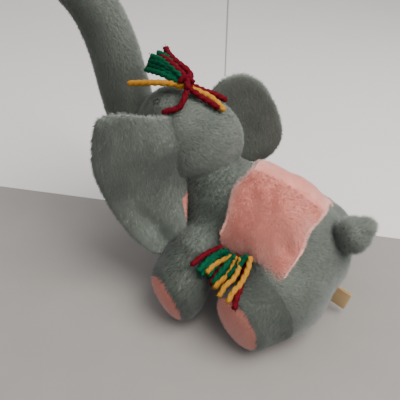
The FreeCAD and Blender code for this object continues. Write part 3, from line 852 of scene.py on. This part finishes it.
BOW = {
    "yellow": [([(8, -104, 174), (16, -122, 174), (20, -138, 171), (22, -154, 167)], 4.5),
               ([(6, -100, 173), (-3, -89, 165), (-3, -71, 156)], 6),
               ([(10, -106, 172), (4, -132, 178), (-2, -151, 176)], 5)],
    "green": [([(6, -108, 177), (3, -128, 185), (-3, -147, 184)], 7),
              ([(9, -109, 177), (7, -127, 182), (0, -148, 180)], 7),
              ([(6, -108, 181), (-1, -126, 189), (-6, -143, 190)], 8),
              ([(9, -107, 181), (5, -127, 188), (-2, -147, 187)], 11),
              ([(10, -108, 176), (10, -126, 179), (3, -149, 176)], 5.5),
              ([(7, -107, 178), (6, -128, 186), (-1, -148, 183)], 10),
              ([(4, -107, 180), (0, -124, 187), (-6, -142, 187)], 6)],
    "red": [([(8, -102, 177), (2, -104, 183), (-1, -121, 189), (-8, -133, 191), (-16, -141, 192)], 9),
            ([(9, -101, 175), (19, -98, 167), (24, -100, 160), (28, -111, 152)], 5.5),
            ([(6, -101, 175), (-9, -91, 166), (-22, -79, 157)], 6),
            ([(9, -100, 173), (4, -90, 166), (0, -76, 156)], 6),
            ([(1, -105, 178), (7, -103, 181), (14, -98, 174)], 9),
            ([(3, -99, 176), (8, -103, 182), (12, -108, 177)], 9),
            ([(7, -106, 182), (4, -124, 189), (-5, -141, 188)], 12)],
}
YARN = {"red": RED, "green": GREEN, "yellow": YELLOW}
for number, (colour, strands) in enumerate(BOW.items()):
    paths = [settle(path, head, gap) for path, gap in strands]
    bunch(f"head_bow_{colour}", paths, YARN[colour], "head", 70 + number, radius=3.0,
                     frayed=(0,) if colour == "red" else ())
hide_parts("head_yarn_bow")

TASSEL = {
    "red": [([(53, -30, 66), (72, -38, 64), (86, -42, 61)], 7),
            ([(54, -2, 63), (74, 0, 60), (94, 8, 48)], 6),
            ([(52, -14, 64), (72, -22, 56), (84, -24, 48)], 5)],
    "green": [([(54, -28, 65), (70, -35, 60), (84, -38, 54)], 9),
              ([(54, -24, 65), (70, -30, 62), (84, -33, 52)], 6),
              ([(54, -20, 65), (68, -25, 60), (80, -30, 50)], 9.5),
              ([(54, -16, 65), (70, -18, 62), (84, -22, 50)], 8),
              ([(54, -12, 65), (68, -16, 58), (82, -16, 48)], 11),
              ([(54, -8, 65), (66, -6, 60), (78, -8, 52)], 7),
              ([(54, -4, 64), (68, -9, 60), (82, -17, 52)], 9.5),
              ([(53, 2, 63), (66, -2, 58), (76, -8, 52)], 10)],
    "yellow": [([(54, 4, 63), (72, 4, 60), (93, 3, 50)], 9),
               ([(54, -6, 64), (74, -4, 60), (90, -3, 48)], 10),
               ([(54, -18, 65), (72, -29, 58), (80, -34, 52)], 11),
               ([(54, -10, 64), (72, -12, 58), (85, -12, 46)], 10)],
}
for side, sign in SIDES.items():
    mirror = np.array([sign, 1, 1])
    hang = 0 if side == "left" else 8  # the right tassel hangs lower, out of sight behind the back
    for number, (colour, strands) in enumerate(TASSEL.items()):
        paths = [settle(np.array(path, float) * mirror - (0, 0, hang), near_body, gap)
                 for path, gap in strands]
        bunch(f"tassel_{side}_{colour}", paths, YARN[colour], f"tassel_{side}",
                          80 + number + sign, radius=2.6)
    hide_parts(f"saddle_tassel_{side}")


# ---------------------------------------------------------------- the eyes and the tag
EYE_RADIUS, EYE_RINGS, EYE_SIDES = 4.5, 16, 28

for side in SIDES:
    low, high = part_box(f"eye_{side}")
    centre = np.array((low + high) / 2) / MM
    sunk = centre + 3 * unit(HEAD - centre)
    a, b = np.meshgrid(np.linspace(0, math.pi, EYE_RINGS + 1),
                       np.linspace(0, 2 * math.pi, EYE_SIDES, endpoint=False), indexing="ij")
    way = np.stack([np.sin(a) * np.cos(b), np.sin(a) * np.sin(b), np.cos(a)], -1).reshape(-1, 3)
    i = (np.arange(EYE_RINGS)[:, None] * EYE_SIDES + np.arange(EYE_SIDES)).ravel()
    j = (np.arange(EYE_RINGS)[:, None] * EYE_SIDES + (np.arange(EYE_SIDES) + 1) % EYE_SIDES).ravel()
    quads = np.stack([i, i + EYE_SIDES, j + EYE_SIDES, j], 1)
    eye = make_mesh(f"eye_ball_{side}", sunk + EYE_RADIUS * way, quads, EYE)
    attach(eye, "head")
    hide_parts(f"eye_{side}", f"eye_washer_{side}")


TAG_REACH, TAG_WIDTH, TAG_HALF_THICK = 15, 20, 0.12
TAG_SEAM = (61, 7)  # where the tag's lower end leaves the rear seam, as y and z
TAG_STEPS, TAG_ROWS = 40, 15


def tag_sheet():
    """A woven ribbon folded into a loop: out from the seam, round, and back."""
    t = np.linspace(0, 1, TAG_STEPS + 1)
    out = TAG_REACH * np.sin(np.pi * t) ** 0.8
    apart = 1.3 * np.cos(np.pi * t) * (0.4 + np.sin(np.pi * t))
    tt, ww = np.meshgrid(np.arange(TAG_STEPS + 1), np.linspace(0, TAG_WIDTH, TAG_ROWS), indexing="ij")
    lean = 0.10 * (ww - TAG_WIDTH / 2) + 0.6 * np.sin(ww / 5)
    x = apart[tt] + lean * 0.6 + out[tt] * 0.12
    y = TAG_SEAM[0] + out[tt] + 0.13 * (ww - TAG_WIDTH / 2)
    z = TAG_SEAM[1] + ww - out[tt] * 0.12
    points = np.stack([x, y, z], -1).reshape(-1, 3)
    i = (np.arange(TAG_STEPS)[:, None] * TAG_ROWS + np.arange(TAG_ROWS - 1)).ravel()
    quads = np.stack([i, i + 1, i + TAG_ROWS + 1, i + TAG_ROWS], 1)
    n = vertex_normals(points, quads)
    both = np.concatenate([points + n * TAG_HALF_THICK, points - n * TAG_HALF_THICK])
    grid = np.arange((TAG_STEPS + 1) * TAG_ROWS).reshape(TAG_STEPS + 1, TAG_ROWS)
    edge = grid_edge(grid)
    following = np.roll(edge, -1)
    rim = np.stack([edge, following, following + len(points), edge + len(points)], 1)
    faces = np.concatenate([quads, quads[:, ::-1] + len(points), rim[:, ::-1]])
    return make_mesh("care_tag_ribbon", both, faces, TAG)


tag = tag_sheet()
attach(tag, "tag")
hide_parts("care_tag")

# ---------------------------------------------------------------- the camera, the stage and the light
def aim(position, target, roll):
    """A camera's or lamp's axes as a world matrix, turned by roll degrees in its picture."""
    position, target = np.array(position, float), np.array(target, float)
    back = unit(position - target)
    right = unit(np.cross((0, 0, 1), back))
    up = np.cross(back, right)
    c, s = math.cos(math.radians(roll)), math.sin(math.radians(roll))
    axes = np.stack([right * c + up * s, up * c - right * s, back], 1)
    m = Matrix.Identity(4)
    for i in range(3):
        for j in range(3):
            m[i][j] = axes[i, j]
        m[i][3] = position[i] * MM
    return m


CAMERA_SPOT, CAMERA_TARGET, CAMERA_ROLL, CAMERA_ANGLE = (327.8, 89.5, 318.9), (24, -72, 78), 5, 47
SENSOR = 36

camera_data = bpy.data.cameras.new("camera")
camera_data.sensor_width = SENSOR
camera_data.lens = SENSOR / 2 / math.tan(math.radians(CAMERA_ANGLE / 2))
camera_data.clip_start = 0.01
camera = bpy.data.objects.new("camera", camera_data)
camera.matrix_world = aim(CAMERA_SPOT, CAMERA_TARGET, CAMERA_ROLL)
bpy.context.scene.collection.objects.link(camera)
bpy.context.scene.camera = camera


def slab(name, corners, material):
    return make_mesh(name, np.array(corners, float), np.array([[0, 1, 2, 3]]), material)


# The grey table top ends behind the toy, and a paler surface goes on from there, with one fine seam in it.
FAR = 3000
EDGE_A, EDGE_B = np.array([45.0, -333.0, 0]), np.array([-145.0, 98.0, 0])
edge_way = unit(EDGE_B - EDGE_A)
table_side = np.array([edge_way[1], -edge_way[0], 0])
far_a, far_b = EDGE_A - edge_way * FAR, EDGE_B + edge_way * FAR
table = slab("table_top", [far_a, far_b, far_b + table_side * FAR, far_a + table_side * FAR], TABLE)
pale = slab("pale_surface", [far_b, far_a, far_a - table_side * FAR, far_b - table_side * FAR], WALL)
seam_a, seam_b = np.array([-470.0, -303.0, 0.4]), np.array([-1500.0, -839.0, 0.4])
seam_side = unit(np.cross(seam_b - seam_a, (0, 0, 1))) * 1.2
seam = slab("panel_seam", [seam_a - seam_side, seam_b - seam_side * 3, seam_b + seam_side * 3,
                           seam_a + seam_side], GROOVE)


def lamp(name, position, target, size, power, colour):
    """A square lamp, size metres across, of the given watts."""
    data = bpy.data.lights.new(name, "AREA")
    data.shape = "SQUARE"
    data.size = size
    data.energy = power
    data.color = colour
    o = bpy.data.objects.new(name, data)
    o.matrix_world = aim(position, target, 0)
    bpy.context.scene.collection.objects.link(o)


lamp("window", (0, 620, 1250), (0, -60, 60), size=1.1, power=34, colour=(1.0, 0.98, 0.95))
world = bpy.data.worlds.new("room")
world.use_nodes = True
world.node_tree.nodes["Background"].inputs["Color"].default_value = (0.80, 0.82, 0.85, 1)
world.node_tree.nodes["Background"].inputs["Strength"].default_value = 1.0
bpy.context.scene.world = world
